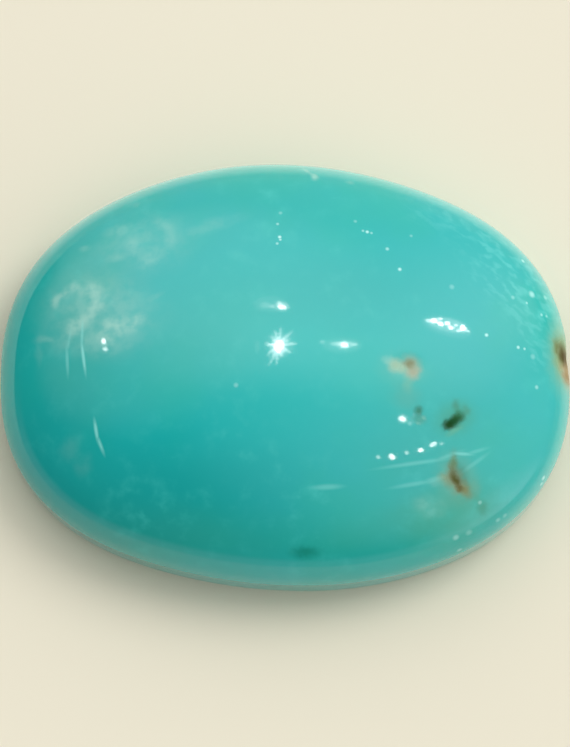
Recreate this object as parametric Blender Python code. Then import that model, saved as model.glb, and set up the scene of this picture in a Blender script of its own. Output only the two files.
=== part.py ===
"""A polished oval turquoise cabochon.

The stone is one solid. Its top is a low dome, its wall stands almost upright, a narrow bevel runs
round its foot, and its back is ground flat. It lies on the back with the dome up. The origin is the
middle of the back, +X runs along the oval's length and +Z points up through the crown.
"""

import math

import bmesh
import bpy
from mathutils import Vector

MM = 0.001

# Driving dimensions of the cut stone.
LENGTH = 16.0 * MM
WIDTH = 12.0 * MM
DOME_RISE = 2.65 * MM
WALL_TOP = 1.55 * MM
BEVEL = 0.30 * MM

# The oval is a little squarer than an ellipse, and it was ground by hand against a template, so
# its radius strays in a few low waves: how many round the oval, how much, and where one peaks.
SQUARENESS = 2.5
HAND_WAVES = (
    (2, 0.010, math.radians(-90)),
    (3, 0.008, math.radians(-100)),
    (4, 0.020, math.radians(10)),
)

# How finely the skin is laid out. The outline has STEPS points, and each band has its rings.
STEPS = 96
DOME_RINGS = 22
WALL_RINGS = 3
BEVEL_RINGS = 1
FIRST_RING = 0.35
FINER_CUTS = 2

# Pits, where soft matrix wore away faster than the stone round it. Each has its middle, the three
# half sizes of the ball of stone that is missing, its turn about +Z and its depth.
PITS = {
    "tan_hollow": ((3.35, -0.18, 3.95), (0.62, 0.42, 0.60), 0.0, 0.030),
    "brown_pit": ((4.72, -3.20, 3.28), (0.34, 0.58, 0.60), 25.0, 0.085),
    "green_pit": ((4.58, -1.72, 3.63), (0.30, 0.26, 0.50), 0.0, 0.035),
    "edge_notch": ((7.95, 0.40, 1.80), (0.66, 0.62, 1.30), 0.0, 0.130),
}

# Finish of the stone: the middle of its blue-green, and a hard polish.
STONE_COLOUR = (0.048, 0.445, 0.420, 1.0)
STONE_ROUGHNESS = 0.12
STONE_IOR = 1.61


def free_radius(angle):
    """The hand-ground oval's radius at this angle, before it is brought to its calibrated size."""
    along = abs(math.cos(angle)) / (LENGTH / 2)
    across = abs(math.sin(angle)) / (WIDTH / 2)
    oval = (along**SQUARENESS + across**SQUARENESS) ** (-1 / SQUARENESS)
    stray = sum(share * math.cos(turns * angle - peak) for turns, share, peak in HAND_WAVES)
    return oval * (1 + stray)


def free_point(angle):
    return Vector((math.cos(angle), math.sin(angle))) * free_radius(angle)


def calibration():
    """The middle of the free outline, and the factors that bring its box to LENGTH by WIDTH."""
    points = [free_point(math.tau * step / STEPS) for step in range(STEPS)]
    low = Vector((min(p.x for p in points), min(p.y for p in points)))
    high = Vector((max(p.x for p in points), max(p.y for p in points)))
    size = high - low
    return (low + high) / 2, Vector((LENGTH / size.x, WIDTH / size.y))


MIDDLE, FACTORS = calibration()


def outline(angle):
    """The point of the wall at this angle, from the stone's upright axis."""
    point = free_point(angle) - MIDDLE
    return Vector((point.x * FACTORS.x, point.y * FACTORS.y))


def profile(place):
    """Share of the outline's radius, distance taken off it and height, at a place on the skin.

    The place runs from 0 at the crown to 1 at the dome's foot, 2 at the top of the bevel and 3 at
    the edge of the back.
    """
    if place <= 1:
        tilt = place * math.pi / 2
        return math.sin(tilt), 0.0, WALL_TOP + DOME_RISE * math.cos(tilt)
    if place <= 2:
        return 1.0, 0.0, WALL_TOP + (BEVEL - WALL_TOP) * (place - 1)
    return 1.0, BEVEL * (place - 2), BEVEL * (3 - place)


def smooth_skin(angle, place):
    """The polished surface, without its pits."""
    share, taken, height = profile(place)
    rim = outline(angle)
    flat = rim * (share - taken / rim.length)
    return Vector((flat.x, flat.y, height))


def inward(angle, place):
    """The direction into the stone, from two short steps along the skin."""
    step = 1e-4
    place = min(max(place, 2 * step), 3 - 2 * step)
    round_it = smooth_skin(angle + step, place) - smooth_skin(angle - step, place)
    down_it = smooth_skin(angle, place + step) - smooth_skin(angle, place - step)
    return round_it.cross(down_it).normalized()


def pit_depth(point):
    """How much deeper the skin lies at this point than a whole stone's would."""
    depth = 0.0
    for middle, half_sizes, turn, deepest in PITS.values():
        offset = point / MM - Vector(middle)
        turn = math.radians(turn)
        along = offset.x * math.cos(turn) + offset.y * math.sin(turn)
        across = offset.y * math.cos(turn) - offset.x * math.sin(turn)
        parts = (along / half_sizes[0], across / half_sizes[1], offset.z / half_sizes[2])
        away = sum(part * part for part in parts)
        if away < 1:
            depth = max(depth, deepest * MM * (1 - away) ** 2)
    return depth


def skin(angle, place):
    point = smooth_skin(angle, place)
    depth = pit_depth(point)
    if depth == 0 or place >= 2:
        return point
    return point + inward(angle, place) * depth


def ring_places():
    """The places of the rings, from the one round the crown to the edge of the back."""
    dome = [FIRST_RING / DOME_RINGS] + [ring / DOME_RINGS for ring in range(1, DOME_RINGS + 1)]
    wall = [1 + ring / WALL_RINGS for ring in range(1, WALL_RINGS + 1)]
    bevel = [2 + ring / BEVEL_RINGS for ring in range(1, BEVEL_RINGS + 1)]
    return dome + wall + bevel


def flat_disc(mesh):
    """Lays the skin out flat: a disc with the crown in the middle, as wide at a ring as its place."""
    places = ring_places()
    first = bmesh.ops.create_circle(
        mesh, cap_ends=True, cap_tris=True, radius=places[0], segments=STEPS
    )
    rim = {v for v in first["verts"] if v.co.length > places[0] / 2}
    edges = [e for e in mesh.edges if e.verts[0] in rim and e.verts[1] in rim]
    for place in places[1:]:
        grown = bmesh.ops.extrude_edge_only(mesh, edges=edges)["geom"]
        for vertex in (item for item in grown if isinstance(item, bmesh.types.BMVert)):
            vertex.co = vertex.co.normalized() * place
        edges = [
            item
            for item in grown
            if isinstance(item, bmesh.types.BMEdge)
            and all(abs(v.co.length - place) < 1e-5 for v in item.verts)
        ]
    return edges


def where(vertex):
    """The angle and the place that a point of the flat disc stands for."""
    return math.atan2(vertex.co.y, vertex.co.x), vertex.co.length


def refine_pits(mesh):
    """Cuts the disc finer wherever a pit will be, so that each one has a round hollow."""
    near = {v for v in mesh.verts if where(v)[1] < 2 and pit_depth(smooth_skin(*where(v))) > 0}
    faces = {face for v in near for face in v.link_faces}
    edges = {edge for face in faces for edge in face.edges}
    bmesh.ops.subdivide_edges(mesh, edges=list(edges), cuts=FINER_CUTS, use_grid_fill=True)


def stone_mesh():
    mesh = bmesh.new()
    foot = flat_disc(mesh)
    bmesh.ops.contextual_create(mesh, geom=foot)
    back = max(mesh.faces, key=lambda face: len(face.verts))
    for edge in back.edges:
        edge.smooth = False
    refine_pits(mesh)
    for vertex in mesh.verts:
        vertex.co = skin(*where(vertex))
    for face in mesh.faces:
        face.smooth = len(face.verts) < STEPS
    bmesh.ops.recalc_face_normals(mesh, faces=mesh.faces)
    data = bpy.data.meshes.new("turquoise_cabochon")
    mesh.to_mesh(data)
    mesh.free()
    return data


def polished_turquoise():
    material = bpy.data.materials.new("polished_turquoise")
    material.use_nodes = True
    shader = material.node_tree.nodes["Principled BSDF"]
    shader.inputs["Base Color"].default_value = STONE_COLOUR
    shader.inputs["Metallic"].default_value = 0.0
    shader.inputs["Roughness"].default_value = STONE_ROUGHNESS
    shader.inputs["IOR"].default_value = STONE_IOR
    return material


def main():
    for item in list(bpy.data.objects):
        bpy.data.objects.remove(item)
    stone = bpy.data.objects.new("turquoise_cabochon", stone_mesh())
    stone.data.materials.append(polished_turquoise())
    bpy.context.scene.collection.objects.link(stone)


main()
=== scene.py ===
# %% [markdown]
# # A polished oval turquoise cabochon
#
# A cabochon is a stone cut with a smooth dome and a flat back. This one is turquoise, so the eye
# reads it by four things: an even waxy blue-green, the pale clouds in it, a few brown and dark
# green specks of the rock it grew in, and a hard polish that mirrors small lamps as sharp glints.
#
# The frame holds the stone's plain solid at its real size. Everything below makes a finer skin of
# the same form in its place, and then works on its colour, its flaws and its light.

# %% Load the frame
import math

import bmesh
import bpy
import numpy as np
from mathutils import Matrix, Vector, noise


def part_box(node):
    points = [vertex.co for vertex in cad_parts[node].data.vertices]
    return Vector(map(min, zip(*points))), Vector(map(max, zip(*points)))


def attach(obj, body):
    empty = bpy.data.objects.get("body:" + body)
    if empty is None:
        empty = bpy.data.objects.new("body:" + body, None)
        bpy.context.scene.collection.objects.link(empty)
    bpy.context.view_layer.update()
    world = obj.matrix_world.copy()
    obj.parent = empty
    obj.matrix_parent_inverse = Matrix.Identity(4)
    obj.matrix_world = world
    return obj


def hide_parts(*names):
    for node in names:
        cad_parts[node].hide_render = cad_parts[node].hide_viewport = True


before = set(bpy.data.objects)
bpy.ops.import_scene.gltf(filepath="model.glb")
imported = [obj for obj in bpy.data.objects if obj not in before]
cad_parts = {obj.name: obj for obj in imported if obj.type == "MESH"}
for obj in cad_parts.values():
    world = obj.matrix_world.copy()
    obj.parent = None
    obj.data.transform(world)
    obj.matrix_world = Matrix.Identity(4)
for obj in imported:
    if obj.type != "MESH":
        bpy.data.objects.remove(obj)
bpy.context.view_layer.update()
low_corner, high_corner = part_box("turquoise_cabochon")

MM = 0.001
length, width, height = high_corner - low_corner
print(f"stone: {length / MM:.2f} x {width / MM:.2f} x {height / MM:.2f} mm")

# %% [markdown]
# ## The camera
#
# The stone lies on its back, and it is looked at from almost straight above. The camera leans ten
# degrees towards the near edge, so that edge shows a little of its wall and the far one none. It
# comes first because flaws are placed further down by where they show in the picture.

# %% Set the camera up
PICTURE_WIDE = 570
PICTURE_HIGH = 747
PX_PER_MM = 35.57
EYE_DISTANCE = 0.100
LEAN = math.radians(10)
WALL_TOP = 1.55 * MM
FILM = 36.0
NEAREST_SEEN = 0.005

aim = Vector((0, 0, WALL_TOP))
camera = bpy.data.objects.new("camera", bpy.data.cameras.new("camera"))
camera.location = aim + EYE_DISTANCE * Vector((0, -math.sin(LEAN), math.cos(LEAN)))
camera.rotation_euler = (LEAN, 0, 0)
picture_height = PICTURE_HIGH / PX_PER_MM * MM
camera.data.sensor_width = FILM
camera.data.lens = FILM * EYE_DISTANCE / picture_height
camera.data.clip_start = NEAREST_SEEN
bpy.context.scene.collection.objects.link(camera)
bpy.context.scene.camera = camera
print(f"lens {camera.data.lens:.1f} mm, picture {picture_height / MM:.2f} mm high at the stone")

# %% [markdown]
# ## The cut
#
# A cutter grinds the blank against an oval template by hand, then rounds the top over, and last
# breaks the sharp edge at the foot with a narrow bevel. The oval is a little squarer than an
# ellipse, and it strays in a few low waves where the hand did. The dome is an arc of an ellipse
# that meets the wall upright, because that makes the rim mirror the floor in an even pale band.

# %% The outline
SQUARENESS = 2.5
# Each wave has its turns round the oval, its share of the radius, and where one of them peaks.
HAND_WAVES = (
    (2, 0.010, math.radians(-90)),
    (3, 0.008, math.radians(-100)),
    (4, 0.020, math.radians(10)),
)
OUTLINE_POINTS = 720
ANGLES = [math.tau * step / OUTLINE_POINTS for step in range(OUTLINE_POINTS)]


def free_point(angle):
    """A point of the hand-ground oval, before it is brought to the stone's size."""
    along = abs(math.cos(angle)) / (length / 2)
    across = abs(math.sin(angle)) / (width / 2)
    oval = (along**SQUARENESS + across**SQUARENESS) ** (-1 / SQUARENESS)
    stray = sum(share * math.cos(turns * angle - peak) for turns, share, peak in HAND_WAVES)
    return Vector((math.cos(angle), math.sin(angle))) * oval * (1 + stray)


free_outline = [free_point(angle) for angle in ANGLES]
free_low = Vector((min(p.x for p in free_outline), min(p.y for p in free_outline)))
free_high = Vector((max(p.x for p in free_outline), max(p.y for p in free_outline)))
middle = (free_low + free_high) / 2
factors = Vector((length / (free_high.x - free_low.x), width / (free_high.y - free_low.y)))


def outline(angle):
    """The same point on the real stone, from its upright axis."""
    point = free_point(angle) - middle
    return Vector((point.x * factors.x, point.y * factors.y))


rim_points = [outline(angle) for angle in ANGLES]
girth = sum((b - a).length for a, b in zip(rim_points, rim_points[1:] + rim_points[:1]))
print(f"the oval measures {girth / MM:.1f} mm round")

# %% The profile
BEVEL = 0.30 * MM
DOME_RISE = height - WALL_TOP


def smooth_skin(angle, place):
    """The polished surface: place is 0 at the crown, 1 at the dome's foot, 2 at the bevel, 3 at the back."""
    rim = outline(angle)
    if place <= 1:
        tilt = place * math.pi / 2
        flat = rim * math.sin(tilt)
        return Vector((flat.x, flat.y, WALL_TOP + DOME_RISE * math.cos(tilt)))
    if place <= 2:
        return Vector((rim.x, rim.y, WALL_TOP + (BEVEL - WALL_TOP) * (place - 1)))
    flat = rim * (1 - BEVEL * (place - 2) / rim.length)
    return Vector((flat.x, flat.y, BEVEL * (3 - place)))


print(f"dome {DOME_RISE / MM:.2f} mm high, on a wall of {(WALL_TOP - BEVEL) / MM:.2f} mm")

# %% [markdown]
# ## The skin
#
# A dome could be spun from its profile, but the rings would crowd together at the crown, just
# where a glossy stone is watched most closely. So a square grid is wrapped over the stone instead:
# each square of cells becomes one oval ring, and the quads stay about as wide as high everywhere.

# %% Wrap a grid over the stone
CELLS = 300
DOME_SHARE = 0.80
WALL_SHARE = 0.96


def wrap(x, y):
    """The angle and the place on the skin for a point of a grid that runs from -1 to 1."""
    ring = max(abs(x), abs(y))
    if ring == 0:
        return 0.0, 0.0
    if abs(x) >= abs(y):
        angle = math.atan2(0, x) + math.pi / 4 * y / x
    else:
        angle = math.copysign(math.pi / 2, y) - math.pi / 4 * x / y
    if ring <= DOME_SHARE:
        return angle, ring / DOME_SHARE
    if ring <= WALL_SHARE:
        return angle, 1 + (ring - DOME_SHARE) / (WALL_SHARE - DOME_SHARE)
    return angle, 2 + (ring - WALL_SHARE) / (1 - WALL_SHARE)


skin = bmesh.new()
bmesh.ops.create_grid(skin, x_segments=CELLS, y_segments=CELLS, size=1)
foot = [edge for edge in skin.edges if edge.is_boundary]
bmesh.ops.contextual_create(skin, geom=foot)
for vertex in skin.verts:
    vertex.co = smooth_skin(*wrap(vertex.co.x, vertex.co.y))
bmesh.ops.recalc_face_normals(skin, faces=skin.faces)
skin.normal_update()
print(f"{len(skin.verts)} points, {len(skin.faces)} faces")

# %% [markdown]
# ## Pits and the waves of the polish
#
# The specks are softer than the stone, so polishing hollows them out. On the right edge the speck
# runs down the wall as a shallow notch. Both are real hollows here, because their rims catch the
# light. A bump in the material would shade them, but it would leave the stone's edge whole. The
# polished skin also has long waves two thousandths of a millimetre deep, left by the felt wheel,
# which is why a mirrored lamp never looks quite round.

# %% Where the pits are
# Each has its centre, its half sizes, its turn in degrees and its depth, in millimetres.
PITS = {
    "tan_hollow": ((3.35, -0.18, 3.95), (0.62, 0.42, 0.60), 0.0, 0.030),
    "brown_pit": ((4.72, -3.20, 3.28), (0.34, 0.58, 0.60), 25.0, 0.085),
    "green_pit": ((4.58, -1.72, 3.63), (0.30, 0.26, 0.50), 0.0, 0.035),
    "edge_notch": ((7.95, 0.36, 1.80), (0.72, 0.74, 1.40), 0.0, 0.060),
}
CRUMBLE = 0.45
CRUMBLE_SIZE = 0.22 * MM
POLISH_WAVE = 0.0020 * MM
POLISH_WAVE_SIZE = 2.6 * MM


def pit_depth(point):
    """How deep the pits go at this point. Their floors crumble, so each one is uneven."""
    depth = 0.0
    for centre, half_sizes, turn, deepest in PITS.values():
        offset = point / MM - Vector(centre)
        turn = math.radians(turn)
        along = offset.x * math.cos(turn) + offset.y * math.sin(turn)
        across = offset.y * math.cos(turn) - offset.x * math.sin(turn)
        parts = (along / half_sizes[0], across / half_sizes[1], offset.z / half_sizes[2])
        away = sum(part * part for part in parts)
        if away < 1:
            rough = 1 + CRUMBLE * noise.noise(point / CRUMBLE_SIZE)
            depth = max(depth, deepest * MM * rough * (1 - away) ** 2)
    return depth


print(f"{len(PITS)} pits, the deepest {max(row[3] for row in PITS.values()):.3f} mm")

# %% Hollow the pits and keep the mesh
for vertex in skin.verts:
    if vertex.co.z > BEVEL:
        wave = POLISH_WAVE * noise.noise(vertex.co / POLISH_WAVE_SIZE)
        vertex.co += vertex.normal * (wave - pit_depth(vertex.co))

stone_mesh = bpy.data.meshes.new("turquoise_stone")
for face in skin.faces:
    face.smooth = len(face.verts) == 4
for edge in foot:
    edge.smooth = False
skin.to_mesh(stone_mesh)
skin.free()
stone = bpy.data.objects.new("turquoise_stone", stone_mesh)
bpy.context.scene.collection.objects.link(stone)
bpy.context.view_layer.update()
print(f"{stone.name}: {len(stone_mesh.polygons)} faces, one of them the flat back")

# %% [markdown]
# ## From the picture to the stone
#
# A flaw is seen at a pixel. A ray from the eye through that pixel meets the finished skin at the
# point that carries it, so every mark sits on the stone and stays there from any side.

# %% Find what a pixel shows


def seen_at(px, py):
    """The point of the stone, in millimetres, and the way it faces, at a pixel of the picture."""
    right = (px - PICTURE_WIDE / 2) / PX_PER_MM * MM
    up = (PICTURE_HIGH / 2 - py) / PX_PER_MM * MM
    way = Matrix.Rotation(LEAN, 3, "X") @ Vector((right, up, -EYE_DISTANCE))
    hit, point, facing, _ = stone.ray_cast(camera.location, way.normalized())
    if not hit:
        raise ValueError(f"pixel {px}, {py} misses the stone")
    return point / MM, facing


KNOWN_PIXELS = {"crown": (285, 360), "brown pit": (455, 482), "right edge": (562, 356)}
for name, pixel in KNOWN_PIXELS.items():
    found, _ = seen_at(*pixel)
    print(f"{name}: {found.x:.2f}, {found.y:.2f}, {found.z:.2f} mm")

# %% [markdown]
# ## Turquoise
#
# Turquoise is a copper and aluminium phosphate, opaque and fine-grained, so light goes only a
# fraction of a millimetre in and comes back waxy. Scattering below the surface could imitate that,
# but at so small a depth it looks the same as a plain colour. It refracts at about 1.61. A hard
# polish on it is almost a mirror, with a roughness near 0.04, so lamps stay crisp in it. The copper
# gives the blue, and a little iron turns it green in places.
#
# The material is one chain of layers: the body colour first, then each cloud, speck and scratch.

# %% Colours and nodes
REFRACTION = 1.61
POLISH = 0.04


def linear(hex_colour):
    """The linear colour and an alpha of 1 for an sRGB hex value."""
    parts = (int(hex_colour[i : i + 2], 16) / 255 for i in (1, 3, 5))
    return (*(p / 12.92 if p <= 0.04045 else ((p + 0.055) / 1.055) ** 2.4 for p in parts), 1.0)


turquoise = bpy.data.materials.new("hard_polished_turquoise")
turquoise.use_nodes = True
tree = turquoise.node_tree
tree.nodes.clear()


def add(kind, sockets, **settings):
    """Adds a node to the current tree. Each socket gets a value, or a link from another's output."""
    made = tree.nodes.new(kind)
    for name, value in settings.items():
        setattr(made, name, value)
    for socket, value in sockets.items():
        if isinstance(value, bpy.types.NodeSocket):
            tree.links.new(value, made.inputs[socket])
        else:
            made.inputs[socket].default_value = value
    return made


print("a middle grey is linear", [round(part, 3) for part in linear("#808080")[:3]])

# %% [markdown]
# Every pattern is measured in millimetres on the stone. A speck is a few soft-edged ovals, but their
# coordinates are pushed about by fine noise first, so that the outline crumbles as a grown one does.
# A mark goes a couple of millimetres through the stone's height, so it doesn't smear down the wall.

# %% Places and patches
THROUGH = 2.2
NOISE_SWING = 0.25
in_object = add("ShaderNodeTexCoord", {}).outputs["Object"]
in_mm = add(
    "ShaderNodeVectorMath", {0: in_object, 1: (1 / MM, 1 / MM, 1 / MM)}, operation="MULTIPLY"
).outputs["Vector"]


def strayed(grain, reach):
    """The place in millimetres, pushed about by noise of this grain and by about this reach."""
    gain = reach / NOISE_SWING
    swirl = add("ShaderNodeTexNoise", {"Vector": in_mm, "Scale": 1 / grain, "Detail": 3.0})
    centred = add(
        "ShaderNodeVectorMath", {0: swirl.outputs["Color"], 1: (0.5, 0.5, 0.5)}, operation="SUBTRACT"
    )
    pushed = add(
        "ShaderNodeVectorMath",
        {0: centred.outputs["Vector"], 1: (gain, gain, gain), 2: in_mm},
        operation="MULTIPLY_ADD",
    )
    return pushed.outputs["Vector"]


def patch(where, centre, half_sizes, turn, soft, most):
    """A soft-edged oval round a place in millimetres: the most in its middle, and 0 outside it."""
    local = add(
        "ShaderNodeMapping",
        {
            "Vector": where,
            "Location": centre,
            "Rotation": (0.0, 0.0, math.radians(turn)),
            "Scale": (*half_sizes, THROUGH),
        },
        vector_type="TEXTURE",
    )
    away = add("ShaderNodeVectorMath", {0: local.outputs["Vector"]}, operation="LENGTH")
    fade = add(
        "ShaderNodeMapRange",
        {"Value": away.outputs["Value"], "From Min": 1 + soft, "From Max": 1 - soft, "To Max": most},
        interpolation_type="SMOOTHSTEP",
    )
    return fade.outputs["Result"]


def speckle(grain, low, high, least=0.0, detail=3.0):
    """Noise of this grain in millimetres, spread from the least at its low value to 1 at its high."""
    dots = add("ShaderNodeTexNoise", {"Vector": in_mm, "Scale": 1 / grain, "Detail": detail})
    spread = add(
        "ShaderNodeMapRange",
        {"Value": dots.outputs["Fac"], "From Min": low, "From Max": high, "To Min": least},
        interpolation_type="SMOOTHSTEP",
    )
    return spread.outputs["Result"]


CRUMB_GRAIN = 0.22
CRUMB_REACH = 0.045
crumbling = strayed(CRUMB_GRAIN, CRUMB_REACH)
print(f"{len(tree.nodes)} nodes so far")

# %% [markdown]
# ## Where the stone is green and where it is chalky
#
# Round the specks more iron got in, and there the stone is greener. Where it is porous it scatters
# all colours, and a whitish cloud shows: a soft body with a few denser curds in it. The paler
# middle is painted light, the crown lit more than the sides. The deeper share is painted shade on
# the near left and the left edge, where the room is dark, with a darker patch above the middle. A
# small white mark by the far edge, laid with the clouds, is a painted highlight. Each could be a
# patch of nodes, but there are too many for one material to carry. They are broad and soft, so
# they are painted on the skin's own points instead, as a share from 0 to 1. Noise pushes the
# points about first, so that an outline wanders as a grown one does. It has a seed, so the clouds
# come out the same each time.
#
# A mark has its pixel, its half sizes in pixels, its turn in degrees, the softness of its edge and
# its share in the middle.

# %% Where it is greener, paler and deeper
GREENER = {
    "round the specks": ((440, 440), (52, 60), 0, 0.8, 0.18),
    "by the brown pit": ((452, 512), (48, 26), 12, 0.7, 0.50),
    "near edge, right": ((395, 535), (70, 22), 8, 0.7, 0.22),
    "near edge, left": ((235, 540), (110, 24), -6, 0.8, 0.25),
    "far middle": ((215, 330), (60, 45), 20, 0.8, 0.12),
    "left": ((75, 300), (50, 70), 0, 0.8, 0.25),
}
# The paler middle is painted light: the crown is made lighter than the sides, as the light falls on it.
PAINTED_LIGHT = {
    "middle": ((290, 335), (125, 85), 0, 0.9, 0.60),
}
# Painted shade: the near left and the left edge are darkened where the room is dark. The patch above the
# middle is darker as well.
DEEPER_AND_PAINTED_SHADE = {
    "near left": ((150, 508), (115, 52), 0, 0.8, 0.90),
    "left": ((55, 440), (42, 62), 0, 0.8, 0.60),
    "above the middle": ((345, 292), (75, 34), 0, 0.9, 0.30),
}
print(f"{len(GREENER)} greener places, {len(PAINTED_LIGHT)} paler and {len(DEEPER_AND_PAINTED_SHADE)} deeper")

# %% Where it is chalky and where it is rippled
CHALKY_AND_HIGHLIGHT = {
    "far left, veil": ((148, 240), (32, 27), 0, 0.8, 0.19),
    "far left, outer veil": ((108, 250), (20, 14), 35, 0.9, 0.07),
    "far left, wisp": ((122, 229), (14, 4.5), 8, 0.8, 0.20),
    "far left, arc, top": ((164, 223), (8, 5), -35, 0.9, 0.19),
    "far left, arc, right": ((169, 237), (4, 9), 5, 0.9, 0.16),
    "far left, arc, foot": ((158, 254), (7, 5), 45, 0.9, 0.16),
    "far left, foot": ((148, 261), (8, 6), 20, 0.8, 0.21),
    "far left, stem": ((134, 246), (4.5, 10), 12, 0.8, 0.21),
    "far left, low curd": ((117, 257), (7, 4), 20, 0.9, 0.16),
    "far left, outer curd": ((84, 248), (4, 3), 0, 0.8, 0.21),
    "far left, high curd": ((134, 205), (5, 3), 0, 0.9, 0.11),
    "far streak": ((212, 226), (26, 6), 20, 0.9, 0.14),
    "left, veil": ((98, 312), (48, 32), -10, 0.8, 0.30),
    "left, low veil": ((84, 342), (26, 10), 0, 0.9, 0.21),
    "left, outer curd": ((52.5, 303), (3.5, 6), 0, 0.8, 0.44),
    "left, slanting wisp": ((61, 294), (10, 3.5), 45, 0.8, 0.35),
    "left, far curd": ((73, 288), (5, 6), 0, 0.8, 0.30),
    "left, hook, top": ((90, 291), (12, 6), -10, 0.8, 0.46),
    "left, hook, bend": ((100, 300), (7, 9), 10, 0.8, 0.44),
    "left, hook, waist": ((91, 313), (13, 6.5), 55, 0.8, 0.44),
    "left, hook, foot": ((77, 326), (10, 7), 30, 0.8, 0.52),
    "left, middle curd": ((114, 325), (9, 8), -15, 0.8, 0.58),
    "left, middle, foot": ((105, 336), (8, 6), 0, 0.8, 0.46),
    "left, bridge": ((126, 327), (10, 8), 0, 0.9, 0.42),
    "left, right curd": ((136, 321), (6, 5), 0, 0.8, 0.54),
    "left, right wisp": ((157, 297), (7, 3), 30, 0.9, 0.14),
    "left edge": ((47, 339), (10, 3), 4, 0.9, 0.23),
    "left edge, hanging": ((40, 350), (3, 12), 0, 0.9, 0.12),
    "left, trailing wisp": ((121, 345), (14, 4), 15, 0.9, 0.12),
    # The far mark, its tail and its right part are a painted highlight by the far rim, laid in the chalk
    # colour.
    "far painted highlight": ((313, 178), (4, 3), -40, 0.7, 0.75),
    "far painted highlight, tail": ((307, 172), (4, 2), -30, 0.8, 0.45),
    "far painted highlight, right": ((349, 182), (4, 2), 0, 0.8, 0.30),
    "low left, upper": ((71, 446), (7, 11), -15, 0.9, 0.10),
    "low left, lower": ((82, 462), (7, 9), 20, 0.9, 0.10),
    "haze below the specks": ((429, 506), (12, 8), 0, 0.9, 0.22),
    "haze on the brown pit": ((436, 480), (5, 4), 0, 0.9, 0.30),
}
RIPPLED = {
    "right": ((512, 275), (62, 30), -48, 0.6, 0.85),
    "right, low": ((540, 340), (34, 22), -70, 0.8, 0.60),
    "far right": ((440, 215), (40, 18), -25, 0.8, 0.50),
}
print(f"{len(CHALKY_AND_HIGHLIGHT)} chalky places and {len(RIPPLED)} rippled ones")

# %% Paint the broad shares
WANDER_GRAIN = 0.9
WANDER = 0.12
FINE_WANDER_GRAIN = 0.25
FINE_WANDER = 0.05
WANDER_SEED = 14
noise.seed_set(WANDER_SEED)


def wandered(point):
    """A place in millimetres, pushed about by a broad noise and a fine one."""
    broad = noise.noise_vector(point / WANDER_GRAIN) * WANDER
    return point + broad + noise.noise_vector(point / FINE_WANDER_GRAIN) * FINE_WANDER


places = np.array([wandered(vertex.co / MM) for vertex in stone_mesh.vertices])


def paint_share(name, marks):
    """Paints the marks as one share on the skin's points, and gives the node that reads it."""
    uncovered = np.ones(len(places))
    for pixel, half_sizes, turn, soft, most in marks.values():
        offset = places - np.array(seen_at(*pixel)[0])
        turn = math.radians(turn)
        along = (offset[:, 0] * math.cos(turn) + offset[:, 1] * math.sin(turn)) / half_sizes[0]
        across = (offset[:, 1] * math.cos(turn) - offset[:, 0] * math.sin(turn)) / half_sizes[1]
        away = np.hypot(np.hypot(along, across) * PX_PER_MM, offset[:, 2] / THROUGH)
        inside = np.clip((1 + soft - away) / (2 * soft), 0, 1)
        uncovered *= 1 - most * inside**2 * (3 - 2 * inside)
    layer = stone_mesh.attributes.new(name, "FLOAT", "POINT")
    layer.data.foreach_set("value", 1 - uncovered)
    print(f"{name}: {len(marks)} marks, up to {1 - uncovered.min():.2f}")
    return add("ShaderNodeAttribute", {}, attribute_name=name).outputs["Fac"]


greener = paint_share("greener", GREENER)
deeper_and_shaded = paint_share("deeper_and_shaded", DEEPER_AND_PAINTED_SHADE)
paler = paint_share("paler", PAINTED_LIGHT)
chalky = paint_share("chalky", CHALKY_AND_HIGHLIGHT)
rippled = paint_share("rippled", RIPPLED)

# %% [markdown]
# ## The body colour
#
# The body is never one flat blue. Broad areas drift between a bluer and a greener turquoise, and a
# fine mottle of paler grains lies all through it. The stone is a felt of crystals far too small to
# see, so a grain of the mottle, half a millimetre wide, stands for a looser knot of them. Fine
# noise eats into the clouds, as their pores aren't filled evenly. On the right the grain is drawn
# out into short pale ripples, where the stone grew in thin slanting layers.

# %% The mottle and the curds
MOTTLE_GRAIN = 0.50
MOTTLE_PATCH = 2.2
CURD_GRAIN = 0.36
mottle = add(
    "ShaderNodeMath",
    {0: speckle(MOTTLE_GRAIN, 0.45, 0.95), 1: speckle(MOTTLE_PATCH, 0.30, 0.80)},
    operation="MULTIPLY",
).outputs["Value"]
curds = speckle(CURD_GRAIN, 0.28, 0.66, least=0.40, detail=2.0)
curdled = add("ShaderNodeMath", {0: chalky, 1: curds}, operation="MULTIPLY").outputs["Value"]
print(f"mottle of {MOTTLE_GRAIN} mm grains in patches of {MOTTLE_PATCH} mm, curds of {CURD_GRAIN} mm")

# %% The ripples
RIPPLE_MOST = 0.34
RIPPLE_TURN = -36
RIPPLE_LONG = 0.36
RIPPLE_SHORT = 0.17
RIPPLE_HEIGHTS = (0.42, 0.72)
slanted = add(
    "ShaderNodeMapping",
    {
        "Vector": crumbling,
        "Rotation": (0.0, 0.0, math.radians(RIPPLE_TURN)),
        "Scale": (RIPPLE_LONG, RIPPLE_SHORT, RIPPLE_LONG),
    },
    vector_type="TEXTURE",
)
ripples = add("ShaderNodeTexNoise", {"Vector": slanted.outputs["Vector"], "Scale": 1.0, "Detail": 1.0})
ripple_tops = add(
    "ShaderNodeMapRange",
    {
        "Value": ripples.outputs["Fac"],
        "From Min": RIPPLE_HEIGHTS[0],
        "From Max": RIPPLE_HEIGHTS[1],
        "To Max": RIPPLE_MOST,
    },
    interpolation_type="SMOOTHSTEP",
)
ripple_share = add(
    "ShaderNodeMath", {0: rippled, 1: ripple_tops.outputs["Result"]}, operation="MULTIPLY"
).outputs["Value"]
print(f"ripples {RIPPLE_LONG} mm long and {RIPPLE_SHORT} mm wide, turned {RIPPLE_TURN} degrees")

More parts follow.
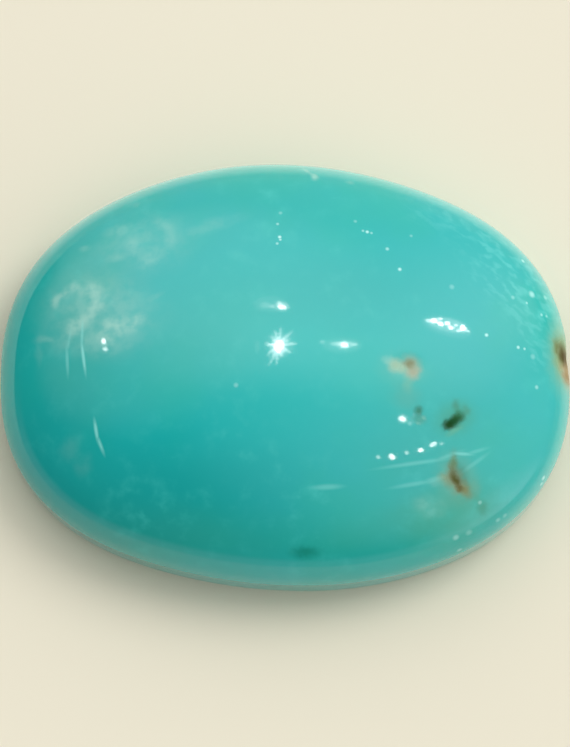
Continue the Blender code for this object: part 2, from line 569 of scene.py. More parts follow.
# %% Lay the body colour
BLUE_BODY = "#1cb0ae"
GREEN_BODY = "#1eb1a7"
PAINTED_LIGHT_COLOUR = "#22c2bb"
DEEP_AND_SHADED_BODY = "#19a29f"
IRON_GREEN = "#3fa588"
PALE_GRAIN = "#40c4bc"
CHALK_AND_HIGHLIGHT_COLOUR = "#a9dccd"
RIPPLE = "#74dcd6"
DRIFT_GRAIN = 3.4
body = linear(BLUE_BODY)
for share, colour in (
    (speckle(DRIFT_GRAIN, 0.40, 0.72), GREEN_BODY),
    # The paler colour is painted light on the middle of the dome; the deep one is mostly painted shade on
    # the near left.
    (paler, PAINTED_LIGHT_COLOUR),
    (deeper_and_shaded, DEEP_AND_SHADED_BODY),
    (greener, IRON_GREEN),
    (mottle, PALE_GRAIN),
    (curdled, CHALK_AND_HIGHLIGHT_COLOUR),
    (ripple_share, RIPPLE),
):
    laid = add("ShaderNodeMix", {"Factor": share, "A": body, "B": linear(colour)}, data_type="RGBA")
    body = laid.outputs["Result"]
print(f"body colour: {len(tree.nodes)} nodes so far")

# %% [markdown]
# ## Specks of matrix
#
# The matrix is what is left of the rock that the turquoise grew in: brown iron oxide, tan clay and
# an almost black green where the two mix. Each speck is laid from the outside in, first the halo
# that stains the stone, then the filling, then its dark core. A filling crumbles too much to take
# a polish, so it stays dull.
#
# A layer has its pixel, its half sizes in pixels, its turn in degrees, the softness of its edge, its
# colour, its share in the middle, and a 1 if it is a filling.

# %% Where the specks are
SPECKS = {
    "tan, halo": ((402, 369), (18, 13), -10, 0.9, "#5cb5a4", 0.45, 0),
    "tan, cool edge": ((389, 360), (5, 4), 0, 0.9, "#8ccbbd", 0.50, 0),
    "tan, left lobe": ((395.5, 365.5), (6, 5.5), 10, 1.0, "#a5c0a5", 0.88, 1),
    "tan, right lobe": ((411.5, 367), (7.5, 9.5), 12, 0.9, "#9fb096", 0.85, 1),
    "tan, bridge": ((403, 367), (4, 4), 0, 1.0, "#9dbb9c", 0.60, 1),
    "tan, lower lobe": ((413, 372), (5, 6), 0, 0.9, "#a9ab92", 0.80, 1),
    "tan, brown": ((409, 363.5), (4.5, 3.5), 0, 1.0, "#868a68", 0.90, 1),
    "tan, trail": ((408, 384), (4, 7), 0, 1.0, "#79b79a", 0.40, 0),
    "grey, stain": ((407, 397), (12, 11), -30, 0.9, "#4fa899", 0.45, 0),
    "grey, upper": ((418.5, 410.5), (3.6, 4), 0, 0.9, "#3d8069", 0.90, 1),
    "grey, lower": ((419.5, 419), (5.5, 5), 0, 0.9, "#529480", 0.60, 1),
    "grey, fleck": ((424, 417.5), (1.8, 1.8), 0, 0.9, "#84c0ae", 0.45, 0),
    "grey, lower fleck": ((417.5, 423.5), (1.8, 1.5), 0, 0.9, "#7cc0ae", 0.45, 0),
    "green, halo": ((455, 418), (17, 13), 30, 0.8, "#3a9e84", 0.65, 0),
    "green, spur": ((456, 406), (3.5, 6), 10, 0.9, "#2f8468", 0.65, 0),
    "green, right stain": ((466, 411), (4, 4.5), 0, 0.9, "#378a6e", 0.60, 0),
    "green, pale foot": ((454.5, 430), (7, 2.5), 35, 0.9, "#62aa84", 0.45, 0),
    "green, upper filling": ((457.5, 416.5), (5.5, 4.5), 30, 0.8, "#34734c", 0.90, 1),
    "green, filling": ((452.5, 422), (10, 4.8), 33, 0.7, "#1d4d24", 0.95, 1),
    "green, core": ((448.5, 425.5), (5, 3.8), 30, 0.8, "#143f17", 0.95, 1),
    "brown, halo": ((457, 480), (15, 19), 15, 0.9, "#6aa083", 0.60, 0),
    "brown, tip": ((453, 464), (3.5, 9), -4, 1.0, "#6a8a64", 0.85, 1),
    "brown, left shoulder": ((444, 478), (5, 4.5), 0, 1.0, "#8aa584", 0.65, 1),
    "brown, middle": ((454, 478.5), (7.2, 9.5), 25, 1.0, "#7f8260", 0.88, 1),
    "brown, orange foot": ((464, 489.5), (8, 5), -38, 1.0, "#83855a", 0.88, 1),
    "brown, foot stain": ((475, 488), (5, 5), 0, 1.0, "#66a083", 0.40, 0),
    "brown, core": ((455.5, 480), (3.2, 8), 23, 1.0, "#53552a", 0.95, 1),
    "brown, low core": ((459, 488), (4, 2.6), -45, 0.9, "#626038", 0.85, 1),
    "smudge": ((482.5, 508), (5, 5.5), 20, 0.9, "#1b8a6c", 0.60, 0),
    "smudge, upper": ((477, 498), (2.5, 4), 30, 1.0, "#4a9c7c", 0.35, 0),
    "near foot": ((305, 552), (12, 4.5), 0, 0.9, "#0c7c68", 0.60, 0),
}
print(f"{len(SPECKS)} speck layers")

# %% Lay the specks
crumbly = 0.0


def lay(below, dull_below, share, colour, is_filling):
    """The body colour with one more layer on it, and how dull that leaves each place."""
    laid = add("ShaderNodeMix", {"Factor": share, "A": below, "B": linear(colour)}, data_type="RGBA")
    if not is_filling:
        return laid.outputs["Result"], dull_below
    duller = add("ShaderNodeMath", {0: dull_below, 1: share}, operation="MAXIMUM")
    return laid.outputs["Result"], duller.outputs["Value"]


for pixel, half_sizes, turn, soft, colour, most, is_filling in SPECKS.values():
    sizes_in_mm = [half_size / PX_PER_MM for half_size in half_sizes]
    share = patch(crumbling, seen_at(*pixel)[0], sizes_in_mm, turn, soft, most)
    body, crumbly = lay(body, crumbly, share, colour, is_filling)
print(f"specks laid: {len(tree.nodes)} nodes so far")

# %% [markdown]
# ## The notch on the right edge
#
# The largest speck runs down the wall in the notch. It is tan clay with dark brown and green seams.
# Its layers could be placed by pixels too, but most of it faces away from the eye, so they are
# placed in millimetres on the wall. The rest of a row is as before.

# %% Lay the notch's filling
NOTCH_LAYERS = {
    "stain": ((7.78, 0.40, 1.80), (0.40, 0.86), 0.0, 0.8, "#8fb595", 0.60, 0),
    "olive": ((7.80, 0.38, 2.20), (0.28, 0.56), 8.0, 0.8, "#7f9560", 0.92, 1),
    "clay": ((7.94, 0.08, 2.20), (0.20, 0.48), 0.0, 0.8, "#a58d68", 0.94, 1),
    "cream": ((7.98, 0.34, 1.90), (0.07, 0.34), 0.0, 0.8, "#c8bc94", 0.85, 1),
    "rust": ((7.95, -0.20, 2.40), (0.16, 0.17), 0.0, 0.8, "#8c7448", 0.80, 1),
    "green seam": ((7.68, 0.54, 2.80), (0.14, 0.27), 14.0, 0.8, "#6b7845", 0.85, 1),
    "brown seam": ((7.82, 0.41, 2.90), (0.16, 0.28), 16.0, 0.7, "#44380c", 0.97, 1),
}
for centre, half_sizes, turn, soft, colour, most, is_filling in NOTCH_LAYERS.values():
    share = patch(crumbling, centre, half_sizes, turn, soft, most)
    body, crumbly = lay(body, crumbly, share, colour, is_filling)
print(f"{len(NOTCH_LAYERS)} layers in the notch")

# %% [markdown]
# ## Scratches and sparkling pits
#
# A finished stone still shows fine scratches from handling. Each is a groove whose floor has lost
# its polish, so it reads as a thin pale line. Tiny pits glint as points, and their glints are
# painted into the colour as near-white dots: painted highlights. Both could be cut in the mesh, but
# they are narrower than its cells, so they are laid in the colour a little, and in the relief and
# the gloss as well. A groove is about 0.04 mm wide, hardly more than a pixel. It is drawn up to
# three times as wide, with edges so soft that it looks no wider.

# %% Where the scratches are
# Each has the pixels of its ends, its half width in pixels and its share in the middle.
SCRATCHES = {
    "left arc, top": ((82.6, 324), (81.6, 347), 1.3, 0.45),
    "left arc, foot": ((81.6, 343), (85.2, 371), 1.4, 0.78),
    "left outer arc, top": ((70.5, 332), (66.8, 353), 1.2, 0.26),
    "left outer arc, foot": ((66.7, 348), (67.8, 373), 1.4, 0.42),
    "lower left arc, top": ((94.6, 421), (97.6, 440), 1.5, 0.80),
    "lower left arc, foot": ((97, 436), (103.5, 453), 1.5, 0.62),
    "long, first": ((384, 467.6), (444, 459.2), 1.7, 0.28),
    "long, second": ((434, 461.4), (460, 451.6), 1.8, 0.22),
    "long, bright": ((453, 453.2), (471, 454.4), 1.5, 0.50),
    "long, last": ((466, 454.4), (486, 448.4), 1.6, 0.22),
    "branch": ((466, 469.5), (486, 455), 1.8, 0.22),
    "lower, first": ((395, 487.2), (431, 481.2), 1.8, 0.29),
    "lower, last": ((423, 482.8), (441, 477.6), 2.2, 0.22),
    "middle": ((314, 487.6), (340, 486.4), 2.2, 0.36),
}
print(f"{len(SCRATCHES)} grooves")

# %% Where the sparkling pits are
# Each has its pixel, its radius in pixels and its share in the middle.
# The pale dots at these pits are painted glints, standing in for the lamps that the pits mirror.
PITS_WITH_PAINTED_GLINTS = {
    "row, top": ((280.5, 213), 1.6, 0.25),
    "row, second": ((277.6, 224), 1.3, 0.45),
    "row, bright": ((279.7, 237), 1.5, 0.85),
    "row, bright foot": ((280.3, 239.6), 1.2, 0.60),
    "row, last": ((277.2, 243.5), 1.3, 0.50),
    "far, faint": ((355.3, 221.3), 1.5, 0.25),
    "far, left": ((363, 230.8), 1.2, 0.45),
    "far, middle": ((367.3, 231.9), 1.5, 0.75),
    "far, right": ((371.5, 233), 1.2, 0.40),
    "middle": ((387.3, 248.9), 1.6, 0.50),
    "middle, bright": ((399.8, 269.3), 1.6, 0.70),
    "upper, faint": ((411.2, 235.9), 1.4, 0.25),
    "between": ((451.8, 286.9), 2.2, 0.22),
    "right, bright": ((486.5, 335), 1.6, 0.70),
    "right, upper": ((523, 261), 1.8, 0.50),
    "right, brightest": ((531.8, 294.3), 3.0, 0.55),
    "right, dash": ((541.5, 314.8), 1.4, 0.45),
    "right, dash end": ((546.5, 316.2), 1.3, 0.35),
    "right, tiny": ((526.8, 303), 1.2, 0.45),
    "right, faint": ((512.9, 297.5), 1.8, 0.28),
    "right edge, faint": ((545.3, 297.5), 2.2, 0.30),
    "low pair, first": ((518.2, 347.3), 1.5, 0.65),
    "low pair, second": ((524.5, 348.8), 1.2, 0.50),
    "low, faint": ((532.9, 356.6), 2.4, 0.22),
    "lowest": ((536.7, 387.2), 1.8, 0.40),
    "near edge, bright": ((543.5, 478), 2.2, 0.55),
    "near edge, bright foot": ((541.5, 484), 1.8, 0.40),
    "near edge, faint": ((505, 515.5), 2.2, 0.20),
    "near edge, fainter": ((498, 520), 2.2, 0.25),
    "near edge, soft": ((469, 532.5), 3.0, 0.22),
    "near edge, low": ((456, 537.5), 2.8, 0.35),
    "near edge, lowest": ((459.5, 550), 2.4, 0.28),
    "by the smudge": ((480, 502.5), 1.8, 0.30),
    "far left of the middle": ((236, 385), 2.0, 0.28),
}
print(f"{len(PITS_WITH_PAINTED_GLINTS)} pits")

# %% Mark the scratches
GROOVE_SOFTNESS = 0.8
scratched = 0.0
for start, end, half_width, most in SCRATCHES.values():
    first, _ = seen_at(*start)
    last, _ = seen_at(*end)
    along = last - first
    turn = math.degrees(math.atan2(along.y, along.x))
    half_sizes = (along.xy.length / 2, half_width / PX_PER_MM)
    groove = patch(in_mm, (first + last) / 2, half_sizes, turn, GROOVE_SOFTNESS, most)
    scratched = add("ShaderNodeMath", {0: scratched, 1: groove}, operation="MAXIMUM").outputs["Value"]
print(f"the last groove is {2 * half_sizes[1]:.2f} mm wide")

# %% Mark the pits
PIT_SOFTNESS = 0.7
pits_and_painted_glints = 0.0
for pixel, radius, most in PITS_WITH_PAINTED_GLINTS.values():
    away = add("ShaderNodeVectorMath", {0: in_mm, 1: seen_at(*pixel)[0]}, operation="DISTANCE")
    radius_in_mm = radius / PX_PER_MM
    spot = add(
        "ShaderNodeMapRange",
        {
            "Value": away.outputs["Value"],
            "From Min": (1 + PIT_SOFTNESS) * radius_in_mm,
            "From Max": (1 - PIT_SOFTNESS) * radius_in_mm,
            "To Max": most,
        },
        interpolation_type="SMOOTHSTEP",
    )
    widest = add("ShaderNodeMath", {0: pits_and_painted_glints, 1: spot.outputs["Result"]}, operation="MAXIMUM")
    pits_and_painted_glints = widest.outputs["Value"]
print(f"the last pit is {2 * radius_in_mm:.2f} mm wide")

# %% Lay their colours
# The pits' near-white colour is a painted glint: each pit's mirror image of a lamp is laid in the colour.
WORN_PALE = "#86e2da"
PAINTED_GLINT = "#c4fbf6"
worn = add("ShaderNodeMix", {"Factor": scratched, "A": body, "B": linear(WORN_PALE)}, data_type="RGBA")
sparkling = add(
    "ShaderNodeMix",
    {"Factor": pits_and_painted_glints, "A": worn.outputs["Result"], "B": linear(PAINTED_GLINT)},
    data_type="RGBA",
)
print(f"scratches and pits laid: {len(tree.nodes)} nodes so far")

# %% [markdown]
# ## The ground back
#
# Nobody polishes a back that a setting will hide. It is flattened on a fine diamond lap and left
# there, so it is matt, a shade paler and ruled with fine parallel marks. They come from noise that
# is drawn out along one axis. Real ones are about 0.01 mm wide, and are drawn at 0.045 mm so that
# they show. The bevel is polished with the dome, as it can be seen from the side.

# %% Finish the back
LAPPED = "#5fb9b0"
LAPPED_ROUGHNESS = 0.42
LAP_MARK = 0.045
LAP_RUN = 1.60
LEAST_POWDER = 0.35
POWDER_HEIGHTS = (0.3, 0.7)
EDGE_OF_POLISH = 0.02
height_on_stone = add("ShaderNodeSeparateXYZ", {"Vector": in_mm}).outputs["Z"]
unpolished = add(
    "ShaderNodeMapRange",
    {"Value": height_on_stone, "From Min": EDGE_OF_POLISH, "From Max": 0.5 * EDGE_OF_POLISH},
).outputs["Result"]
stretched = add(
    "ShaderNodeVectorMath", {0: in_mm, 1: (1 / LAP_RUN, 1 / LAP_MARK, 1.0)}, operation="MULTIPLY"
)
lap_marks = add("ShaderNodeTexNoise", {"Vector": stretched.outputs["Vector"], "Scale": 1.0, "Detail": 2.0})
powder = add(
    "ShaderNodeMapRange",
    {
        "Value": lap_marks.outputs["Fac"],
        "From Min": POWDER_HEIGHTS[0],
        "From Max": POWDER_HEIGHTS[1],
        "To Min": LEAST_POWDER,
    },
)
powdered = add("ShaderNodeMath", {0: unpolished, 1: powder.outputs["Result"]}, operation="MULTIPLY")
finished = add(
    "ShaderNodeMix",
    {"Factor": powdered.outputs["Value"], "A": sparkling.outputs["Result"], "B": linear(LAPPED)},
    data_type="RGBA",
)
lap_relief = add(
    "ShaderNodeMath", {0: lap_marks.outputs["Fac"], 1: unpolished}, operation="MULTIPLY"
).outputs["Value"]
print(f"lap marks {LAP_MARK} mm wide below {EDGE_OF_POLISH} mm")

# %% [markdown]
# The relief is what is too fine for the skin: grooves and pits a few thousandths of a millimetre
# deep, the lap's marks on the back, and the faint unevenness that every hand polish keeps. A worn
# floor has lost its gloss, so the roughness rises in the same places. A filling is so porous that
# light sinks in rather than bounce off, so there the mirror image goes as well.

# %% The relief
GROOVE_DEPTH = 0.002
PIT_DEPTH = 0.004
LAP_DEPTH = 0.008
POLISH_GRAIN = 0.40
POLISH_GRAIN_DEPTH = 0.0005
grain = add("ShaderNodeTexNoise", {"Vector": in_mm, "Scale": 1 / POLISH_GRAIN, "Detail": 4.0})
relief = 0.0
for height_map, depth in (
    (scratched, -GROOVE_DEPTH),
    (pits_and_painted_glints, -PIT_DEPTH),
    (lap_relief, LAP_DEPTH),
    (grain.outputs["Fac"], POLISH_GRAIN_DEPTH),
):
    raised = add("ShaderNodeMath", {0: height_map, 1: depth, 2: relief}, operation="MULTIPLY_ADD")
    relief = raised.outputs["Value"]
surface = add("ShaderNodeBump", {"Height": relief, "Distance": MM, "Strength": 1.0})
print(f"grooves {GROOVE_DEPTH} mm deep, pits {PIT_DEPTH} mm")

# %% The gloss
WORN_ROUGHNESS = 0.45
MIRROR_LEVEL = 0.5
DULL_LEVEL = 0.01
damaged = add("ShaderNodeMath", {0: scratched, 1: pits_and_painted_glints}, operation="MAXIMUM").outputs["Value"]
damaged = add("ShaderNodeMath", {0: damaged, 1: crumbly}, operation="MAXIMUM").outputs["Value"]
gloss = add("ShaderNodeMapRange", {"Value": damaged, "To Min": POLISH, "To Max": WORN_ROUGHNESS})
roughness = add(
    "ShaderNodeMix",
    {"Factor": unpolished, "A": gloss.outputs["Result"], "B": LAPPED_ROUGHNESS},
    data_type="FLOAT",
)
mirror_level = add(
    "ShaderNodeMapRange", {"Value": crumbly, "To Min": MIRROR_LEVEL, "To Max": DULL_LEVEL}
)
print(f"roughness from {POLISH} on the polish to {WORN_ROUGHNESS} where it is worn")

# %% Put the turquoise on the stone
shader = add(
    "ShaderNodeBsdfPrincipled",
    {
        "Base Color": finished.outputs["Result"],
        "Specular IOR Level": mirror_level.outputs["Result"],
        "Roughness": roughness.outputs["Result"],
        "IOR": REFRACTION,
        "Metallic": 0.0,
        "Normal": surface.outputs["Normal"],
    },
)
add("ShaderNodeOutputMaterial", {"Surface": shader.outputs["BSDF"]})
stone.data.materials.append(turquoise)
print(f"turquoise: {len(tree.nodes)} nodes, IOR {REFRACTION}, polish roughness {POLISH}")

# %% [markdown]
# ## The floor
#
# The floor matters more than usual: the stone's rim is so glossy and so steep there that it shows
# the floor in a pale band. It is a plain warm white card, wide enough to reach the horizon as the
# rim sees it.

# %% Lay the floor
FLOOR_HALF = 1.5
floor_mesh = bpy.data.meshes.new("floor")
ground = bmesh.new()
bmesh.ops.create_grid(ground, x_segments=2, y_segments=2, size=FLOOR_HALF)
ground.to_mesh(floor_mesh)
ground.free()
floor = bpy.data.objects.new("floor", floor_mesh)
bpy.context.scene.collection.objects.link(floor)

card = bpy.data.materials.new("warm_white_card")
card.use_nodes = True
tree = card.node_tree
tree.nodes.clear()
print(f"floor {2 * FLOOR_HALF:.1f} m square")

# %% [markdown]
# The outermost skin of the dome is so steep that it mirrors the floor just beside the stone. On the
# far and right sides a glazed floor would shine there, and give the stone its soft pale fringe. So
# the card glows a little in a ring round those sides, and only for rays that a mirror sends on: the
# eye itself sees a plain card. A lamp laid there would do it too, but with a hard edge. Distances
# from the middle are counted in outlines of the stone, so the ring is an oval too.

# %% How much it shines at each place
SHINE_AZIMUTH = 50
SHINE_FULL_WITHIN = 78
SHINE_NONE_BEYOND = 114
SHINE_RISES = (1.02, 1.35)
SHINE_FALLS = (2.9, 1.5)
on_floor = add("ShaderNodeTexCoord", {}).outputs["Object"]
in_outlines = add(
    "ShaderNodeVectorMath", {0: on_floor, 1: (2 / length, 2 / width, 0.0)}, operation="MULTIPLY"
).outputs["Vector"]
outlines_away = add("ShaderNodeVectorMath", {0: in_outlines}, operation="LENGTH").outputs["Value"]
outward = add("ShaderNodeVectorMath", {0: in_outlines}, operation="NORMALIZE").outputs["Vector"]
azimuth = math.radians(SHINE_AZIMUTH)
towards = add(
    "ShaderNodeVectorMath",
    {0: outward, 1: (math.cos(azimuth), math.sin(azimuth), 0.0)},
    operation="DOT_PRODUCT",
).outputs["Value"]
side_limits = (math.cos(math.radians(SHINE_NONE_BEYOND)), math.cos(math.radians(SHINE_FULL_WITHIN)))
strength = add("ShaderNodeLightPath", {}).outputs["Is Glossy Ray"]
for measure, (none_at, full_at) in (
    (outlines_away, SHINE_RISES),
    (outlines_away, SHINE_FALLS),
    (towards, side_limits),
):
    ramp = add(
        "ShaderNodeMapRange",
        {"Value": measure, "From Min": none_at, "From Max": full_at},
        interpolation_type="SMOOTHSTEP",
    )
    part = add("ShaderNodeMath", {0: strength, 1: ramp.outputs["Result"]}, operation="MULTIPLY")
    strength = part.outputs["Value"]
print(f"the shine ends {SHINE_FALLS[0]} outlines from the middle")

# %% Put the card on the floor
CARD = "#ebe4cf"
CARD_ROUGHNESS = 0.85
CARD_MIRROR_LEVEL = 0.2
SHINE_RADIANCE = 0.88
shining = add("ShaderNodeMath", {0: strength, 1: SHINE_RADIANCE}, operation="MULTIPLY")
card_shader = add(
    "ShaderNodeBsdfPrincipled",
    {
        "Base Color": linear(CARD),
        "Roughness": CARD_ROUGHNESS,
        "Specular IOR Level": CARD_MIRROR_LEVEL,
        "Emission Color": linear(CARD),
        "Emission Strength": shining.outputs["Value"],
    },
)
add("ShaderNodeOutputMaterial", {"Surface": card_shader.outputs["BSDF"]})
floor.data.materials.append(card)
print(f"{card.name}: {len(tree.nodes)} nodes")

# %% [markdown]
# ## The light
#
# A polished stone shows the room twice: its colour is lit by all of it, and its gloss mirrors it.
# Large soft screens stand to the right, behind, and behind on the left. The dome mirrors them as a
# pale veil over its far and right parts. The near left of the room is dark, and there the colour
# shows at its deepest. A small screen low on the near right pales the rim there. Area lamps could
# do this, but a background is smooth and free of noise. Each screen fades out at its edges, so that
# the veil has none. On the near side the foot of the walls is pale too, which widens the band that
# the near rim mirrors.

# %% Hang the screens
ROOM_RADIANCE = 0.02
# Each has its azimuth, its elevation, where it stops being full, where it ends, and its radiance.
SCREENS = {
    "right": (-8, 41, 0, 68, 1.00),
    "behind": (83, 29, 45, 63, 0.78),
    "behind left": (130, 51, 19, 42, 0.55),
    "near right, low": (318, 5, 4, 28, 0.65),
}
room = bpy.data.worlds.new("room")
room.use_nodes = True
tree = room.node_tree
tree.nodes.clear()


def way_to(azimuth, elevation):
    """The direction of an azimuth, counter-clockwise from the right, and an elevation, in degrees."""
    azimuth, elevation = math.radians(azimuth), math.radians(elevation)
    level = math.cos(elevation)
    return Vector((level * math.cos(azimuth), level * math.sin(azimuth), math.sin(elevation)))


way = add("ShaderNodeTexCoord", {}).outputs["Generated"]
glow = ROOM_RADIANCE
for azimuth, elevation, full_within, none_beyond, brightness in SCREENS.values():
    towards = add(
        "ShaderNodeVectorMath", {0: way, 1: way_to(azimuth, elevation)}, operation="DOT_PRODUCT"
    )
    screen = add(
        "ShaderNodeMapRange",
        {
            "Value": towards.outputs["Value"],
            "From Min": math.cos(math.radians(none_beyond)),
            "From Max": math.cos(math.radians(full_within)),
            "To Max": brightness,
        },
        interpolation_type="SMOOTHSTEP",
    )
    summed = add("ShaderNodeMath", {0: glow, 1: screen.outputs["Result"]}, operation="ADD")
    glow = summed.outputs["Value"]
print(f"{len(SCREENS)} screens")

# %% Light the foot of the walls
SKIRTING_RADIANCE = 0.42
SKIRTING_TOP = 15
SKIRTING_FULL_BELOW = 5
SKIRTING_AZIMUTH = 262
SKIRTING_FULL_WITHIN = 55
SKIRTING_NONE_BEYOND = 100
rise = add("ShaderNodeSeparateXYZ", {"Vector": way}).outputs["Z"]
low_band = add(
    "ShaderNodeMapRange",
    {
        "Value": rise,
        "From Min": math.sin(math.radians(SKIRTING_TOP)),
        "From Max": math.sin(math.radians(SKIRTING_FULL_BELOW)),
        "To Max": SKIRTING_RADIANCE,
    },
    interpolation_type="SMOOTHSTEP",
)
nearness = add(
    "ShaderNodeVectorMath", {0: way, 1: way_to(SKIRTING_AZIMUTH, 0)}, operation="DOT_PRODUCT"
)
near_side = add(
    "ShaderNodeMapRange",
    {
        "Value": nearness.outputs["Value"],
        "From Min": math.cos(math.radians(SKIRTING_NONE_BEYOND)),
        "From Max": math.cos(math.radians(SKIRTING_FULL_WITHIN)),
    },
    interpolation_type="SMOOTHSTEP",
)
skirting = add(
    "ShaderNodeMath",
    {0: low_band.outputs["Result"], 1: near_side.outputs["Result"], 2: glow},
    operation="MULTIPLY_ADD",
)
glow = skirting.outputs["Value"]
sky = add("ShaderNodeBackground", {"Color": (1.0, 1.0, 1.0, 1.0), "Strength": glow})
add("ShaderNodeOutputWorld", {"Surface": sky.outputs["Background"]})
bpy.context.scene.world = room
print(f"{room.name}: {len(tree.nodes)} nodes")

# %% [markdown]
# The screens alone are too even to model the dome. A stronger lamp from the right and behind gives
# the form its bright and dark side and a soft shadow on the floor, and a weak one from the near
# left opens that shadow. Both are left out of the mirror image, as their place there is taken by
# the small glints further down.

# %% Add the key and the fill
SOFT_LAMP_AWAY = 0.5
# Each has its azimuth, its elevation, half the angle that it spans, and its radiance.
SOFT_LAMPS = {
    "key": (36, 52, 15, 3.8),
    "fill": (235, 42, 28, 0.45),
}


def power_of(radiance, area):
    """The power in watts that makes a flat lamp of this area this bright."""
    return radiance * math.pi * area


for name, (azimuth, elevation, half_angle, radiance) in SOFT_LAMPS.items():
    lamp = bpy.data.lights.new(name, "AREA")
    lamp.shape = "DISK"
    lamp.size = 2 * SOFT_LAMP_AWAY * math.tan(math.radians(half_angle))
    lamp.energy = power_of(radiance, math.pi * (lamp.size / 2) ** 2)
    holder = bpy.data.objects.new(name, lamp)
    holder.location = SOFT_LAMP_AWAY * way_to(azimuth, elevation)
    holder.rotation_euler = (-holder.location).to_track_quat("-Z", "Y").to_euler()
    holder.visible_glossy = False
    bpy.context.scene.collection.objects.link(holder)
    print(f"{name} lamp: {lamp.size:.3f} m wide, {lamp.energy:.2f} W")

# %% [markdown]
# ## Glints
#
# Small bright lamps stand round the stone, and the dome mirrors each as a glint. A glint shows
# where the skin faces halfway between the eye and its lamp, so each lamp is placed by reflecting
# the ray from the eye. Rays a few pixels apart tell how the dome stretches its mirror image there,
# and the lamp is stretched the other way, so that its glint has the shape asked for. The lamps are
# mirrored only, and light nothing.

# %% Aim a lamp by its mirror image
LAMP_AWAY = 0.25
NEAR_BY = 2
SPAN = 7


def mirrored_at(px, py):
    """The way the dome mirrors the eye's ray at a pixel, evened out over its neighbours."""
    total = Vector()
    for right in (-NEAR_BY, 0, NEAR_BY):
        for down in (-NEAR_BY, 0, NEAR_BY):
            point, facing = seen_at(px + right, py + down)
            sight = (point * MM - camera.location).normalized()
            total += sight.reflect(facing)
    return total.normalized()


def glint(name, px, py, wide, high, turn, radiance):
    """A lamp that the dome mirrors as an oval at a pixel, with its sizes in pixels."""
    back = mirrored_at(px, py)
    side = back.orthogonal().normalized()
    over = back.cross(side)
    swings = []
    for size, angle in ((wide, math.radians(turn)), (high, math.radians(turn + 90))):
        right, down = SPAN * math.cos(angle), -SPAN * math.sin(angle)
        swing = mirrored_at(px + right, py + down) - mirrored_at(px - right, py - down)
        swings.append(np.array((swing.dot(side), swing.dot(over))) * size / (2 * SPAN))
    axes, stretches, _ = np.linalg.svd(np.array(swings).T)
    long_way = side * axes[0, 0] + over * axes[1, 0]
    short_way = back.cross(long_way)
    lamp = bpy.data.lights.new(f"glint {name}", "AREA")
    lamp.shape = "ELLIPSE"
    lamp.size, lamp.size_y = LAMP_AWAY * stretches
    lamp.energy = power_of(radiance, math.pi / 4 * lamp.size * lamp.size_y)
    holder = bpy.data.objects.new(f"glint {name}", lamp)
    holder.location = seen_at(px, py)[0] * MM + back * LAMP_AWAY
    holder.rotation_euler = Matrix((long_way, short_way, back)).transposed().to_euler()
    holder.visible_diffuse = False
    bpy.context.scene.collection.objects.link(holder)


shown = mirrored_at(*KNOWN_PIXELS["crown"])
print(f"the crown mirrors the room at {math.degrees(math.asin(shown.z)):.0f} degrees up")

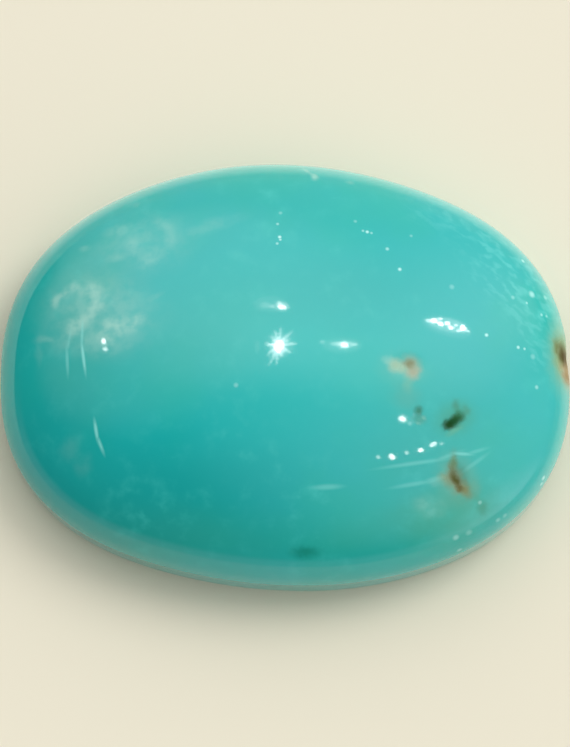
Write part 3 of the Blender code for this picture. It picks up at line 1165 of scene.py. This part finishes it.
# %% Place the glints
# Each has its pixel, its width and height in pixels, its turn in degrees and its radiance.
GLINTS = {
    "main": (278.3, 345.4, 10.5, 12, 0, 30.0),
    "main, glow": (278.3, 345.4, 17, 19, 0, 3.0),
    "main, outer glow": (278.5, 345.6, 25, 27, 0, 0.8),
    "main, side": (257, 346, 5, 14, 0, 0.6),
    "upper": (281.8, 306.9, 8.5, 5, -5, 24.0),
    "upper, bump": (280, 302.5, 3.5, 4, 0, 7.0),
    "upper, glow": (281.5, 306.6, 15, 10, -5, 2.5),
    "upper, left": (273, 306.4, 4, 3, 0, 4.5),
    "upper, far left": (265, 305.5, 12, 6, 0, 1.4),
    "upper, haze": (270, 304, 34, 16, 0, 0.5),
    "middle": (344.5, 344.5, 7, 5, 0, 26.0),
    "middle, glow": (344.5, 344.8, 18, 8.5, 0, 3.0),
    "middle, right": (354.5, 344.7, 6, 3.5, 0, 6.5),
    "middle, left": (335, 343.7, 10, 3, 0, 4.0),
    "middle, far left": (322, 342.5, 4.5, 4, 0, 3.0),
    "middle, haze": (343, 345, 40, 16, 0, 0.5),
    "window, left": (434.6, 320.6, 6.5, 4.5, -8, 26.0),
    "window, left top": (440.5, 319, 4, 2.6, 10, 16.0),
    "window, left foot": (440.5, 323.8, 6, 4, -20, 24.0),
    "window, tail": (428.5, 320.5, 6, 3, 0, 9.0),
    "window, middle": (447.2, 323.2, 5.5, 4, -15, 26.0),
    "window, middle foot": (451.5, 328, 6.5, 3.5, -10, 22.0),
    "window, gap": (456, 325.6, 4.5, 2.6, -10, 10.0),
    "window, right": (462.9, 327.6, 5.5, 6, 0, 26.0),
    "window, right foot": (458.5, 330.4, 4, 2.6, 0, 12.0),
    "window, end": (467.3, 330.6, 4.5, 3, -25, 9.0),
    "window, haze": (448.5, 325, 42, 13, -13, 2.0),
    "window, outer haze": (449, 326, 52, 20, -13, 0.6),
    "left pair, upper": (103.8, 341, 4, 5.5, 0, 18.0),
    "left pair, lower": (105.4, 349.4, 5.5, 3.6, -10, 12.0),
    "low": (402.4, 419.4, 6, 5, 0, 24.0),
    "low, glow": (402.4, 419.6, 11, 9, 0, 2.0),
    "low, faint": (409.8, 423.1, 3.6, 3.6, 0, 3.0),
    "string, 1": (379.7, 456.9, 3.6, 3.6, 0, 7.0),
    "string, 2": (392.3, 456.9, 4.2, 5.2, 0, 20.0),
    "string, 3": (407, 451.8, 3.6, 3.6, 0, 8.0),
    "string, 4": (420.3, 449.5, 6, 4.6, 0, 18.0),
    "string, 5": (433.6, 446.3, 8, 3.6, 15, 12.0),
    "string, 6": (442, 443.8, 4.5, 3, 15, 4.0),
}
for name, row in GLINTS.items():
    glint(name, *row)
print(f"{len(GLINTS)} glints")

# %% [markdown]
# The largest glint flares into a small star, since the eye of a camera spreads so bright a point
# along the edges of its aperture. Each ray is one more thin lamp that starts inside the glint.

# %% Add the star's rays
RAY_ANGLES_AND_REACHES = (
    (78, 19), (48, 20), (102, 16), (130, 13), (161, 15), (190, 13), (215, 16), (245, 22),
    (265, 20), (290, 13), (330, 15), (6, 18), (25, 14),
)
RAY_HIGH = 1.8
RAY_RADIANCE = 7.0
star_x, star_y = GLINTS["main"][:2]
for angle, reach in RAY_ANGLES_AND_REACHES:
    px = star_x + reach / 2 * math.cos(math.radians(angle))
    py = star_y - reach / 2 * math.sin(math.radians(angle))
    glint(f"ray at {angle}", px, py, reach, RAY_HIGH, angle, RAY_RADIANCE)
print(f"{len(RAY_ANGLES_AND_REACHES)} rays")

# %% [markdown]
# ## Finish the scene
#
# The colours are shown as they are, with no film curve over them. The stone stands for the plain
# solid in the frame, which is hidden, and hangs from the root.

# %% Finish
bpy.context.scene.view_settings.view_transform = "Standard"
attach(stone, "root")
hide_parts("turquoise_cabochon")
